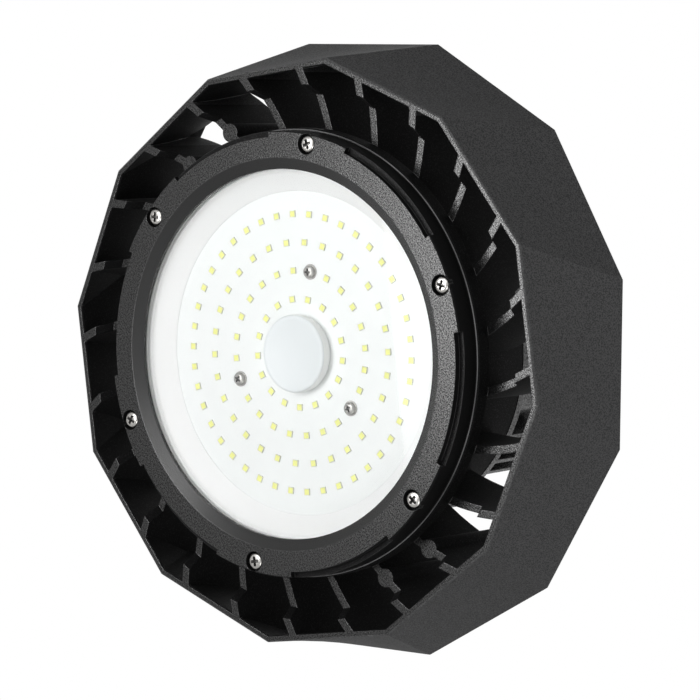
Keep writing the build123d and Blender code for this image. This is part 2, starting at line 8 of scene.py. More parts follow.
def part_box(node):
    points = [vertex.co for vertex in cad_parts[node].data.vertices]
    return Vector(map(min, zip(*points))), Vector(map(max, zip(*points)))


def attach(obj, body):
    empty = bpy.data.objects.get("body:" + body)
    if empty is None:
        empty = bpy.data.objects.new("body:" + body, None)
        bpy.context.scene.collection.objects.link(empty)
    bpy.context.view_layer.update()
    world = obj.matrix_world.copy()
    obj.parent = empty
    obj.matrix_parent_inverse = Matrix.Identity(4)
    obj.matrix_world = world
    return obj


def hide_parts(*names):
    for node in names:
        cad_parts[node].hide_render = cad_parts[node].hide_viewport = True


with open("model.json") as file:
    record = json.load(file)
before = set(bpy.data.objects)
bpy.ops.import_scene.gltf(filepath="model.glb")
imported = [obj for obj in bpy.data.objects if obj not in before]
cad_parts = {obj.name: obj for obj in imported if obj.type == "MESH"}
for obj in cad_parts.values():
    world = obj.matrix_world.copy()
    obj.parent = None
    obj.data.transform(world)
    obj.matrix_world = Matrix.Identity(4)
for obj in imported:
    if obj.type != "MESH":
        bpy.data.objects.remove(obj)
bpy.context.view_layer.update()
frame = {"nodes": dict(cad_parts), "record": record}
bpy.ops.object.select_all(action="DESELECT")
print("frame loaded:", len(frame["nodes"]), "nodes")

# settings of the pieces are in millimetres and degrees, those of finishes, lights and camera in metres
mm = 0.001
slotOfNode = {entry["node"]: entry["material_slot"] for entry in frame["record"]["subparts"]}


# Shader nodes

def newGroup(name, inputs, outputs):
    group = bpy.data.node_groups.new(name, "ShaderNodeTree")
    for label, kind, value in inputs:
        socket = group.interface.new_socket(name=label, in_out="INPUT", socket_type="NodeSocket" + kind)
        if value is not None:
            socket.default_value = value
    for label, kind in outputs:
        group.interface.new_socket(name=label, in_out="OUTPUT", socket_type="NodeSocket" + kind)
    return group, group.nodes.new("NodeGroupInput"), group.nodes.new("NodeGroupOutput")


def addNode(tree, kind, values=None, **settings):
    node = tree.nodes.new("ShaderNode" + kind)
    for key, value in settings.items():
        setattr(node, key, value)
    for key, value in (values or {}).items():
        node.inputs[key].default_value = value
    return node


def mapRange(tree, source, low, high, newLow=0.0, newHigh=1.0):
    node = addNode(tree, "MapRange", {"From Min": low, "From Max": high, "To Min": newLow, "To Max": newHigh})
    tree.links.new(source, node.inputs["Value"])
    return node.outputs["Result"]


def mathNode(tree, operation, *values):
    node = addNode(tree, "Math", operation=operation)
    for socket, value in zip(node.inputs, values):
        if isinstance(value, (int, float)):
            socket.default_value = value
        else:
            tree.links.new(value, socket)
    return node.outputs["Value"]


def multiplied(tree, first, *others):
    for other in others:
        first = mathNode(tree, "MULTIPLY", first, other)
    return first


def vectorNode(tree, operation, output, *sources):
    node = addNode(tree, "VectorMath", operation=operation)
    for socket, source in zip(node.inputs, sources):
        tree.links.new(source, socket)
    return node.outputs[output]


def scaled(tree, vector, factor):
    node = addNode(tree, "VectorMath", operation="SCALE")
    tree.links.new(vector, node.inputs[0])
    tree.links.new(factor, node.inputs["Scale"])
    return node.outputs["Vector"]


def splitAlongAxis(tree, vector):
    # the part of a vector across the light's axis, and its share along it
    parts, across = addNode(tree, "SeparateXYZ"), addNode(tree, "CombineXYZ")
    tree.links.new(vector, parts.inputs[0])
    for axis in ("X", "Y"):
        tree.links.new(parts.outputs[axis], across.inputs[axis])
    return across.outputs[0], parts.outputs["Z"]


# Node groups that several finishes share

# scales count in grains; each range is of the noise that becomes a mask
sandSettings = {
    "domeScale": 0.8, "domeReach": 0.75, "speckScale": 0.75, "patchScale": 0.012,
    "speckRange": (0.54, 0.7), "sheenRange": (0.4, 0.6), "patchRange": (0.35, 0.65),
}


def makeSandGroup(settings):
    # a sandy powder coat: bump height, specks that get painted glints and less roughness, glossier grains and
    # broad patches of tone
    group, start, end = newGroup(
        "sandyCoat", [("Place", "Vector", None), ("Grains Per Metre", "Float", None)],
        [("Height", "Float"), ("Speckle", "Float"), ("Sheen", "Float"), ("Tone", "Float")])
    place = scaled(group, start.outputs["Place"], start.outputs["Grains Per Metre"])
    fine = addNode(group, "TexNoise", {"Scale": 1.0, "Detail": 2.0, "Roughness": 0.65})
    glintGrain = addNode(group, "TexVoronoi", {"Scale": settings["domeScale"]}, feature="SMOOTH_F1")
    speck = addNode(group, "TexNoise", {"Scale": settings["speckScale"], "Detail": 1.0, "Roughness": 0.5})
    patch = addNode(group, "TexNoise", {"Scale": settings["patchScale"], "Detail": 2.0})
    for node in (fine, glintGrain, speck, patch):
        group.links.new(place, node.inputs["Vector"])
    domes = mapRange(group, glintGrain.outputs["Distance"], 0.0, settings["domeReach"], 1.0, 0.0)
    height = multiplied(group, mathNode(group, "ADD", fine.outputs["Fac"], domes), 0.5)
    group.links.new(height, end.inputs["Height"])
    group.links.new(mapRange(group, speck.outputs["Fac"], *settings["speckRange"]), end.inputs["Speckle"])
    group.links.new(mapRange(group, speck.outputs["Fac"], *settings["sheenRange"]), end.inputs["Sheen"])
    group.links.new(mapRange(group, patch.outputs["Fac"], *settings["patchRange"]), end.inputs["Tone"])
    return group


# the rounded normal's agreement with the true one, where an edge starts and where it is full
edgeSettings = {"samples": 6, "start": 0.99, "full": 0.8}


def makeEdgeGroup(settings):
    # rounded edge normals, and a mask of the edges
    group, start, end = newGroup("roundedEdge", [("Radius", "Float", None)],
                                 [("Normal", "Vector"), ("Edge", "Float")])
    bevel = addNode(group, "Bevel", samples=settings["samples"])
    group.links.new(start.outputs["Radius"], bevel.inputs["Radius"])
    group.links.new(bevel.outputs["Normal"], end.inputs["Normal"])
    trueNormal = addNode(group, "NewGeometry").outputs["Normal"]
    agreement = vectorNode(group, "DOT_PRODUCT", "Value", bevel.outputs["Normal"], trueNormal)
    group.links.new(mapRange(group, agreement, settings["start"], settings["full"]), end.inputs["Edge"])
    return group


marksSettings = {"broadScale": 0.2, "fineScale": 4.0, "fineShare": 0.3, "toneRange": (0.3, 0.7)}


def makeMarksGroup(settings):
    # faint flow marks and small pits of a moulded or plated surface
    group, start, end = newGroup(
        "surfaceMarks", [("Place", "Vector", None), ("Marks Per Metre", "Float", None)],
        [("Height", "Float"), ("Tone", "Float")])
    place = scaled(group, start.outputs["Place"], start.outputs["Marks Per Metre"])
    broad = addNode(group, "TexNoise", {"Scale": settings["broadScale"], "Detail": 3.0, "Roughness": 0.55})
    fine = addNode(group, "TexNoise", {"Scale": settings["fineScale"], "Detail": 2.0, "Roughness": 0.5})
    for node in (broad, fine):
        group.links.new(place, node.inputs["Vector"])
    pits = multiplied(group, fine.outputs["Fac"], settings["fineShare"])
    group.links.new(mathNode(group, "ADD", broad.outputs["Fac"], pits), end.inputs["Height"])
    group.links.new(mapRange(group, broad.outputs["Fac"], *settings["toneRange"]), end.inputs["Tone"])
    return group


# the ranges are of the normal's share outwards and along the axis
reachSettings = {"sideRange": (0.35, 0.6), "endRange": (0.7, 0.92)}


def makeReachGroup(settings):
    # the faces square to the axis, those that look outwards past a radius, and all that lies past it
    group, start, end = newGroup(
        "sprayReach", [("Place", "Vector", None), ("Outer Radius", "Float", None)],
        [("Ends", "Float"), ("Side", "Float"), ("Beyond", "Float")])
    place = splitAlongAxis(group, start.outputs["Place"])[0]
    normal, slope = splitAlongAxis(group, addNode(group, "NewGeometry").outputs["Normal"])
    radius = vectorNode(group, "LENGTH", "Value", place)
    outward = mathNode(group, "DIVIDE", vectorNode(group, "DOT_PRODUCT", "Value", place, normal), radius)
    beyond = mathNode(group, "GREATER_THAN", radius, start.outputs["Outer Radius"])
    side = multiplied(group, mapRange(group, outward, *settings["sideRange"]), beyond)
    ends = mapRange(group, mathNode(group, "ABSOLUTE", slope), *settings["endRange"])
    for label, mask in (("Ends", ends), ("Side", side), ("Beyond", beyond)):
        group.links.new(mask, end.inputs[label])
    return group


def makeBandGroup():
    # what lies between two radii and two heights, which take in the whole light unless they are given
    group, start, end = newGroup(
        "turnedBand", [("Place", "Vector", None), ("Inner", "Float", 0.0), ("Outer", "Float", 1.0),
                       ("Low", "Float", 0.0), ("High", "Float", 1.0)], [("Mask", "Float")])
    place, height = splitAlongAxis(group, start.outputs["Place"])
    radius = vectorNode(group, "LENGTH", "Value", place)
    tests = ((radius, "GREATER_THAN", "Inner"), (radius, "LESS_THAN", "Outer"),
             (height, "GREATER_THAN", "Low"), (height, "LESS_THAN", "High"))
    within = [mathNode(group, operation, value, start.outputs[label]) for value, operation, label in tests]
    group.links.new(multiplied(group, *within), end.inputs["Mask"])
    return group


sandGroup = makeSandGroup(sandSettings)
edgeGroup = makeEdgeGroup(edgeSettings)
marksGroup = makeMarksGroup(marksSettings)
reachGroup = makeReachGroup(reachSettings)
bandGroup = makeBandGroup()
print("node groups made")


# Finishes

def newMaterial(name, values):
    material = bpy.data.materials.new(name)
    material.use_nodes = True
    tree = material.node_tree
    shader = tree.nodes["Principled BSDF"]
    for key, value in values.items():
        shader.inputs[key].default_value = value
    return material, tree, shader


def addGroup(tree, group, values):
    # a group that asks for a place gets the Object coordinates
    node = tree.nodes.new("ShaderNodeGroup")
    node.node_tree = group
    for key, value in values.items():
        node.inputs[key].default_value = value
    if "Place" in node.inputs:
        tree.links.new(addNode(tree, "TexCoord").outputs["Object"], node.inputs["Place"])
    return node


def mixColours(tree, mask, first, second):
    node = addNode(tree, "Mix", data_type="RGBA")
    colours = [socket for socket in node.inputs if socket.type == "RGBA"]
    for socket, value in zip(colours, (first, second)):
        if isinstance(value, tuple):
            socket.default_value = value + (1.0,)
        else:
            tree.links.new(value, socket)
    tree.links.new(mask, node.inputs["Factor"])
    return [socket for socket in node.outputs if socket.type == "RGBA"][0]


def addBump(tree, shader, height, settings, normal):
    bump = addNode(tree, "Bump", {"Strength": settings["bump"], "Distance": settings["bumpDepth"]})
    tree.links.new(height, bump.inputs["Height"])
    tree.links.new(normal, bump.inputs["Normal"])
    tree.links.new(bump.outputs["Normal"], shader.inputs["Normal"])
    return bump.outputs["Normal"]


def limitToFace(tree, settings, sheen, paintedGlint, height):
    # the flat face alone has the full grain and the painted glints: the lip beside the cover is finer, side
    # and step are dull
    face = addGroup(tree, reachGroup, {"Outer Radius": settings["lipRadius"]})
    deep = addGroup(tree, bandGroup, {"Low": settings["faceDepth"]})
    grainy = multiplied(tree, face.outputs["Beyond"], face.outputs["Ends"])
    depthCoat = mapRange(tree, deep.outputs["Mask"], 0.0, 1.0, 1.0, settings["deepCoat"])
    faceCoat = multiplied(tree, sheen, grainy, depthCoat)
    lipCoat = mapRange(tree, face.outputs["Beyond"], 0.0, 1.0, settings["lipCoat"], 0.0)
    fineness = mapRange(tree, grainy, 0.0, 1.0, settings["lipGrain"], 1.0)
    sheen = mathNode(tree, "ADD", faceCoat, lipCoat)
    return sheen, multiplied(tree, paintedGlint, grainy), multiplied(tree, height, fineness)


def limitToSprayAndPaintLitSide(tree, settings, sand, sheen, coat, edges):
    # the spray reached the faces square to the axis and the shroud's outside; between the fins all stays
    # dull. The shroud's outside facets are painted paler than the rest of the coat: painted light
    reach = addGroup(tree, reachGroup, {"Outer Radius": settings["outerRadius"]})
    ends, side = reach.outputs["Ends"], reach.outputs["Side"]
    sideCoat = multiplied(tree, side, settings["sideCoat"])
    sheen = multiplied(tree, sheen, mathNode(tree, "MAXIMUM", ends, sideCoat))
    # painted light: the outside facets take a paler colour
    paintedLitSideTone = mixColours(tree, sand.outputs["Sheen"], settings["paintedLitSideDark"], settings["side"])
    front = addGroup(tree, bandGroup, {"High": settings["frontDepth"]})
    exposed = mathNode(tree, "MAXIMUM", mathNode(tree, "MAXIMUM", side, ends), front.outputs["Mask"])
    return sheen, mixColours(tree, side, coat, paintedLitSideTone), multiplied(tree, edges, exposed)


def paintHighlightCorner(tree, settings, sand, colour):
    # a painted highlight along a corner, in patches
    corner = addGroup(tree, bandGroup, settings["paintedHighlightCorner"])
    patches = mapRange(tree, sand.outputs["Tone"], 0.0, 1.0, settings["paintedHighlightLeast"], 1.0)
    mask = multiplied(tree, corner.outputs["Mask"], patches)
    return mixColours(tree, mask, colour, settings["paintedHighlightColour"])


def powderCoat(name, settings):
    # sandy powder coat over a casting: a dark matt base under a clear coat, with painted glints on its specks
    # and worn edges that also carry a painted highlight
    material, tree, shader = newMaterial(name, {
        "Specular IOR Level": settings["gloss"],
        "Coat Roughness": settings["coatRoughness"],
        "Coat IOR": settings["coatIor"],
    })
    sand = addGroup(tree, sandGroup, {"Grains Per Metre": settings["grainsPerMetre"]})
    edge = addGroup(tree, edgeGroup, {"Radius": settings["edgeRadius"]})
    coat = mixColours(tree, sand.outputs["Tone"], settings["dark"], settings["base"])
    sheen = mapRange(tree, sand.outputs["Sheen"], 0.0, 1.0, settings["dullCoat"], settings["coat"])
    paintedGlint = multiplied(tree, sand.outputs["Speckle"], settings["paintedGlint"])
    height, edges = sand.outputs["Height"], edge.outputs["Edge"]
    if "lipRadius" in settings:
        sheen, paintedGlint, height = limitToFace(tree, settings, sheen, paintedGlint, height)
    if "sideCoat" in settings:
        sheen, coat, edges = limitToSprayAndPaintLitSide(tree, settings, sand, sheen, coat, edges)
    edgeCoat = multiplied(tree, edges, settings["edgeCoat"])
    # painted glints: the specks are painted paler
    colour = mixColours(tree, paintedGlint, coat, settings["glintGrain"])
    # the edges are painted paler: wear, and a painted highlight
    colour = mixColours(tree, multiplied(tree, edges, settings["wearAndHighlight"]), colour, settings["wornAndHighlightColour"])
    # painted highlight along a front corner of the hub
    if "paintedHighlightCorner" in settings:
        colour = paintHighlightCorner(tree, settings, sand, colour)
    roughness = mapRange(tree, sand.outputs["Speckle"], 0.0, 1.0,
                         settings["roughness"], settings["grainRoughness"])
    tree.links.new(mathNode(tree, "MAXIMUM", sheen, edgeCoat), shader.inputs["Coat Weight"])
    tree.links.new(colour, shader.inputs["Base Color"])
    tree.links.new(roughness, shader.inputs["Roughness"])
    grained = addBump(tree, shader, height, settings, edge.outputs["Normal"])
    tree.links.new(grained, shader.inputs["Coat Normal"])
    return material


# shade darkens the marks; dull and polish are the roughness between them and on them
mouldedMarks = {"marks": 300.0, "shade": 0.93, "dull": 1.0, "polish": 0.85, "bump": 0.1, "bumpDepth": 0.0001,
                "edgeRadius": 0.0003}
metalMarks = {"marks": 900.0, "shade": 0.8, "dull": 1.25, "polish": 1.0, "bump": 0.08, "bumpDepth": 0.0001,
              "edgeRadius": 0.0002}


def markedFinish(name, settings, values):
    # faint marks in colour, roughness and bump, and softly rounded edges
    material, tree, shader = newMaterial(name, values)
    marks = addGroup(tree, marksGroup, {"Marks Per Metre": settings["marks"]})
    edge = addGroup(tree, edgeGroup, {"Radius": settings["edgeRadius"]})
    tone, rough = marks.outputs["Tone"], settings["roughness"]
    shade = tuple(channel * settings["shade"] for channel in settings["colour"])
    tree.links.new(mixColours(tree, tone, shade, settings["colour"]), shader.inputs["Base Color"])
    tree.links.new(mapRange(tree, tone, 0.0, 1.0, rough * settings["dull"], rough * settings["polish"]),
                   shader.inputs["Roughness"])
    addBump(tree, shader, marks.outputs["Height"], settings, edge.outputs["Normal"])
    return material


def moulded(name, **settings):
    # moulded plastic, rubber or a painted board
    return markedFinish(name, dict(mouldedMarks, **settings), {})


def metal(name, **settings):
    # plated or bare metal
    return markedFinish(name, dict(metalMarks, **settings), {"Metallic": 1.0})


coverSettings = {"ior": 1.5, "roughness": 0.015, "marks": 20.0, "colour": (1.0, 1.0, 1.0),
                 "dark": (0.985, 0.995, 0.99)}


def clearCover(name, settings):
    # the cover doesn't darken what lies behind it: shadow and diffuse rays pass straight through
    material, tree, shader = newMaterial(name, {
        "Transmission Weight": 1.0,
        "IOR": settings["ior"],
        "Roughness": settings["roughness"],
    })
    marks = addGroup(tree, marksGroup, {"Marks Per Metre": settings["marks"]})
    tree.links.new(mixColours(tree, marks.outputs["Tone"], settings["dark"], settings["colour"]),
                   shader.inputs["Base Color"])
    path = addNode(tree, "LightPath")
    clear = addNode(tree, "BsdfTransparent")
    mix = addNode(tree, "MixShader")
    through = mathNode(tree, "MAXIMUM", path.outputs["Is Shadow Ray"], path.outputs["Is Diffuse Ray"])
    tree.links.new(through, mix.inputs["Fac"])
    tree.links.new(shader.outputs["BSDF"], mix.inputs[1])
    tree.links.new(clear.outputs["BSDF"], mix.inputs[2])
    tree.links.new(mix.outputs["Shader"], tree.nodes["Material Output"].inputs["Surface"])
    return material


# base and dark make the matt ground, dullCoat to coat the clear coat over its grains
coatSettings = {
    "base": (0.005, 0.005, 0.0052), "dark": (0.0035, 0.0035, 0.0036), "roughness": 0.8, "gloss": 0.1,
    # glintGrain is the colour of the painted glints, paintedGlint their share
    "glintGrain": (0.05, 0.05, 0.051), "paintedGlint": 0.25, "grainRoughness": 0.7, "grainsPerMetre": 2200.0,
    "coat": 1.0, "dullCoat": 0.3, "coatRoughness": 0.26, "coatIor": 1.72, "bump": 0.8, "bumpDepth": 0.00007,
    # wornAndHighlightColour at the edges is wear and a painted highlight
    "wornAndHighlightColour": (0.08, 0.08, 0.081), "wearAndHighlight": 0.3, "edgeRadius": 0.0006, "edgeCoat": 0.9,
}
heatSinkCoat = dict(
    # side and paintedLitSideDark make the shroud's outside facets paler than the rest of the coat: painted
    # light
    coatSettings, sideCoat=0.025, side=(0.105, 0.105, 0.106), paintedLitSideDark=(0.05, 0.05, 0.051),
    outerRadius=0.1268, frontDepth=0.0135,
    # a painted highlight along a front corner of the hub
    paintedHighlightCorner={"Inner": 0.10095, "Outer": 0.1013, "Low": 0.0114, "High": 0.0121},
    paintedHighlightColour=(0.26, 0.26, 0.265), paintedHighlightLeast=0.45,
)
bezelCoat = dict(
    coatSettings, bump=1.0, wearAndHighlight=0.5, edgeRadius=0.0004, edgeCoat=0.5,
    lipRadius=0.0885, lipCoat=0.65, lipGrain=0.4, faceDepth=0.0006, deepCoat=0.12,
)
housingCoat = dict(coatSettings, wearAndHighlight=0.25)

materials = {
    "black_powder_coat": powderCoat("blackPowderCoat", heatSinkCoat),
    "bezel_powder_coat": powderCoat("bezelPowderCoat", bezelCoat),
    "housing_powder_coat": powderCoat("housingPowderCoat", housingCoat),
    "clear_cover": clearCover("clearCover", coverSettings),
    "silicone_black": moulded("blackSilicone", colour=(0.025, 0.025, 0.026), roughness=0.6, bump=0.2),
    "silicone_grey": moulded("greyThermalPad", colour=(0.42, 0.43, 0.45), roughness=0.7, bump=0.3),
    "white_reflector": moulded("whiteReflector", colour=(0.95, 0.955, 0.955), roughness=0.5, shade=0.99,
                               bump=0.02),
    "white_solder_mask": moulded("whiteSolderMask", colour=(0.9, 0.925, 0.92), roughness=0.4, shade=0.985,
                                 marks=400.0, bump=0.05),
    "led_package": moulded("ledPackage", colour=(0.78, 0.77, 0.66), roughness=0.45),
    "cap_white": moulded("whiteCap", colour=(0.8, 0.84, 0.855), roughness=0.4, shade=0.98, edgeRadius=0.0006),
    "nickel_screw": metal("nickelPlate", colour=(0.64, 0.625, 0.6), roughness=0.24),
    "zinc_steel": metal("zincPlate", colour=(0.6, 0.61, 0.63), roughness=0.34, edgeRadius=0.0005),
    "brass_standoff": metal("bareBrass", colour=(0.75, 0.56, 0.25), roughness=0.28),
    "gland_nylon": moulded("blackNylon", colour=(0.02, 0.02, 0.021), roughness=0.42, edgeRadius=0.0004),
    "board_green": moulded("greenBoard", colour=(0.03, 0.2, 0.08), roughness=0.35),
    "ferrite": moulded("ferrite", colour=(0.06, 0.06, 0.065), roughness=0.55, bump=0.35),
    "winding_tape": moulded("windingTape", colour=(0.75, 0.55, 0.08), roughness=0.4),
    "capacitor_sleeve": moulded("capacitorSleeve", colour=(0.02, 0.025, 0.05), roughness=0.3),
    "terminal_plastic": moulded("terminalPlastic", colour=(0.08, 0.3, 0.14), roughness=0.45),
    "connector_white": moulded("connectorWhite", colour=(0.82, 0.82, 0.79), roughness=0.4),
    "lead_red": moulded("redLead", colour=(0.5, 0.02, 0.015), roughness=0.35),
    "lead_black": moulded("blackLead", colour=(0.02, 0.02, 0.02), roughness=0.35),
}
phosphor = moulded("ledPhosphor", colour=(0.93, 0.95, 0.3), roughness=0.5, shade=0.92, marks=2500.0,
                   edgeRadius=0.0001)
# a paler copy of the cap's white for its side wall: painted light
capSidePaintedLight = moulded("whiteCapSidePaintedLight", colour=(0.95, 0.965, 0.96), roughness=0.4, shade=0.98, edgeRadius=0.0006)
# a darker copy of the metal for the cross recesses: painted shade
recessShade = metal("recessShade", colour=(0.2, 0.195, 0.19), roughness=0.4)
boardSteel = metal("boardScrewSteel", colour=(0.42, 0.41, 0.395), roughness=0.3)
milkySilicone = moulded("milkySilicone", colour=(0.86, 0.87, 0.865), roughness=0.35)
print("materials made")

finishOfNode = {"lens_gasket": milkySilicone, "board_screw_washers": boardSteel}
for node, piece in frame["nodes"].items():
    finish = finishOfNode.get(node, materials[slotOfNode[node]])
    if not piece.material_slots:
        piece.data.materials.append(finish)
    for materialSlot in piece.material_slots:
        materialSlot.material = finish
print("CAD nodes dressed")


# Tools for the modelled pieces

squareOn = 0.99  # a face looks along Z when its normal does so by this share
mergeWithin = 0.01


def startPiece(name):
    # names the mesh that was just added
    piece = bpy.context.object
    piece.name = name
    piece.data.name = name
    return piece


def settleMesh():
    bpy.ops.object.transform_apply(location=True, rotation=True, scale=True)


def selectOnly(*pieces):
    bpy.ops.object.select_all(action="DESELECT")
    for piece in pieces:
        piece.select_set(True)
    bpy.context.view_layer.objects.active = pieces[0]


def selectFaces(piece, test):
    # in edit mode: selects the faces that pass the test, by centre and normal
    bpy.ops.object.mode_set(mode="OBJECT")
    for part in (piece.data.vertices, piece.data.edges, piece.data.polygons):
        part.foreach_set("select", [False] * len(part))
    for face in piece.data.polygons:
        face.select = test(face.center, face.normal)
    bpy.ops.object.mode_set(mode="EDIT")
    bpy.ops.mesh.select_mode(type="FACE")


def extrudeBy(rise, widening=None):
    # extrudes the selection along Z and widens its end
    bpy.ops.mesh.extrude_region_move(TRANSFORM_OT_translate={"value": (0, 0, rise)})
    if widening is not None:
        bpy.ops.transform.resize(value=(widening, widening, 1))


def applyModifier(piece, kind, **settings):
    modifier = piece.modifiers.new(kind.lower(), kind)
    for key, value in settings.items():
        setattr(modifier, key, value)
    bpy.context.view_layer.objects.active = piece
    bpy.ops.object.modifier_apply(modifier=modifier.name)


def cutAway(piece, cutter):
    selectOnly(piece)
    applyModifier(piece, "BOOLEAN", operation="DIFFERENCE", object=cutter, solver="EXACT")
    bpy.data.objects.remove(cutter)


def giveFinishes(piece, *finishes):
    piece.data.materials.clear()
    for finish in finishes:
        piece.data.materials.append(finish)


def joinPieces(name, pieces):
    selectOnly(*pieces)
    bpy.ops.object.join()
    return startPiece(name)


def copyAround(model, name, places):
    # joins one copy of the model at each place, given as matrices; the model itself is removed
    copies = []
    for place in places:
        copy = model.copy()
        copy.data = model.data.copy()
        copy.data.transform(place)
        bpy.context.scene.collection.objects.link(copy)
        copies.append(copy)
    bpy.data.objects.remove(model)
    return joinPieces(name, copies)


def onCircle(radius, angle, level, turn):
    # a place on a circle round the axis, with the piece turned about its own
    direction = math.radians(angle)
    place = Matrix.Translation((radius * math.cos(direction), radius * math.sin(direction), level))
    return place @ Matrix.Rotation(math.radians(turn), 4, "Z")


def turnProfile(name, profile, sides, closed=False):
    # a circle extruded and widened from point to point of the profile, given as radius and level
    bpy.ops.object.select_all(action="DESELECT")
    radius, level = profile[0]
    bpy.ops.mesh.primitive_circle_add(vertices=sides, radius=radius * mm, location=(0, 0, level * mm))
    piece = startPiece(name)
    settleMesh()
    bpy.ops.object.mode_set(mode="EDIT")
    bpy.ops.mesh.select_mode(type="VERT")
    bpy.ops.mesh.select_all(action="SELECT")
    for nextRadius, nextLevel in profile[1:] + (profile[:1] if closed else ()):
        extrudeBy((nextLevel - level) * mm, nextRadius / radius)
        radius, level = nextRadius, nextLevel
    bpy.ops.mesh.select_all(action="SELECT")
    bpy.ops.mesh.remove_doubles(threshold=mergeWithin * mm)
    bpy.ops.mesh.fill_holes(sides=0)
    bpy.ops.mesh.normals_make_consistent(inside=False)
    bpy.ops.object.mode_set(mode="OBJECT")
    return piece


def addHexagon(name, settings):
    bottom, top = settings["bottom"], settings["hexTop"]
    bpy.ops.object.select_all(action="DESELECT")
    bpy.ops.mesh.primitive_cylinder_add(vertices=6, radius=settings["flats"] / math.sqrt(3) * mm,
                                        depth=(top - bottom) * mm, location=(0, 0, (bottom + top) / 2 * mm))
    piece = startPiece(name)
    settleMesh()
    applyModifier(piece, "BEVEL", width=settings["bevel"] * mm, segments=3, limit_method="ANGLE")
    return piece


def pressGrips(piece, grips, sides):
    # presses every so many of the outer side faces inward as grip flutes
    def gripped(centre, normal):
        step = round(math.degrees(math.atan2(centre.y, centre.x)) / (360 / sides) - 0.5)
        outer = math.hypot(centre.x, centre.y) > grips["inner"] * mm
        return grips["low"] * mm < centre.z < grips["high"] * mm and outer and step % grips["every"] == 0

    selectFaces(piece, gripped)
    bpy.ops.mesh.inset(thickness=grips["margin"] * mm, depth=-grips["depth"] * mm, use_individual=True)
    bpy.ops.object.mode_set(mode="OBJECT")


def finishPiece(piece, node, smoothAngle=None):
    # the piece stands in the node's place, and the node is hidden
    bpy.ops.object.mode_set(mode="OBJECT")
    selectOnly(piece)
    if smoothAngle:
        bpy.ops.object.shade_smooth_by_angle(angle=math.radians(smoothAngle))
    settleMesh()
    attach(piece, "root")
    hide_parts(node)
    piece.select_set(False)


# LED packages: a pale housing with a sunk field of phosphor
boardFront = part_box("led_board")[0].z
ledSettings = {
    "width": 3.0, "height": 0.7, "rim": 0.17, "sink": 0.08, "bevel": 0.06,
    # number of places, radius and first angle of each ring
    "rings": ((42, 63.0, 36.66), (30, 50.2, 34.89), (24, 37.4, 41.0), (17, 24.6, 42.65)),
    # on this ring, counted from 0, one place in so many holds a board screw
    "screwRing": 2, "screwStep": 8,
}


def makeLed(settings):
    width, height = settings["width"] * mm, settings["height"] * mm
    bpy.ops.object.select_all(action="DESELECT")
    bpy.ops.mesh.primitive_cube_add(size=1.0, location=(0, 0, -height / 2))
    led = startPiece("ledModel")
    led.scale = (width, width, height)
    settleMesh()
    giveFinishes(led, materials["led_package"], phosphor)
    applyModifier(led, "BEVEL", width=settings["bevel"] * mm, segments=1, limit_method="ANGLE")
    selectFaces(led, lambda centre, normal: normal.z < -squareOn)
    bpy.ops.mesh.inset(thickness=(settings["rim"] - settings["bevel"]) * mm, depth=0)
    bpy.ops.mesh.inset(thickness=settings["sink"] * mm, depth=-settings["sink"] * mm)
    bpy.ops.object.mode_set(mode="OBJECT")
    for face in led.data.polygons:
        face.material_index = 1 if face.select else 0
    return led


def makeLedRing(settings, index):
    count, radius, firstAngle = settings["rings"][index]
    places = []
    for i in range(count):
        if index == settings["screwRing"] and i % settings["screwStep"] == 0:
            continue
        angle = firstAngle + 360 / count * i
        places.append(onCircle(radius * mm, angle, boardFront, angle))
    ring = copyAround(makeLed(settings), f"ledRing{index + 1}", places)
    finishPiece(ring, f"led_ring_{index + 1}")


for ringIndex in range(len(ledSettings["rings"])):
    makeLedRing(ledSettings, ringIndex)
print("LED rings made")


# Pan head screws with a tapered cross recess, head towards -Z and its seat at Z = 0

# the head's outline is in shares of its radius and height, and so is the recess
screwShape = {
    "head": ((1.0, 0.0), (1.0, 0.38), (0.975, 0.6), (0.9, 0.79), (0.77, 0.92), (0.6, 0.985), (0.45, 1.0)),
    "sides": 48, "reach": 0.58, "floorReach": 0.3, "slot": 0.17, "floorSlot": 0.1, "depth": 0.68,
    "crown": 0.97, "cutterMargin": 0.05, "tipLength": 0.06, "tipWidth": 0.7, "smooth": 32,
}
# turns are the ways that the crosses of the screws stand
bezelScrews = {
    "name": "bezelScrews", "node": "bezel_screws", "headRadius": 4.0, "headHeight": 2.8, "shankRadius": 1.95,
    "seat": 3.2, "circle": 95.8, "angle": 41.0, "turns": (12, 47, 71, 23, 58, 34),
    "finish": materials["nickel_screw"], "upward": False,
}
boardScrews = {
    "name": "boardScrews", "node": "board_screws", "headRadius": 2.9, "headHeight": 1.9, "shankRadius": 1.45,
    "seat": 15.7, "circle": 37.4, "angle": 41.0, "turns": (30, 8, 62), "finish": boardSteel, "upward": False,
}
housingScrews = dict(
    bezelScrews, name="housingScrews", node="housing_screws", seat=79.0, circle=73.5, angle=45.0,
    turns=(20, 65, 41, 80), upward=True,
)


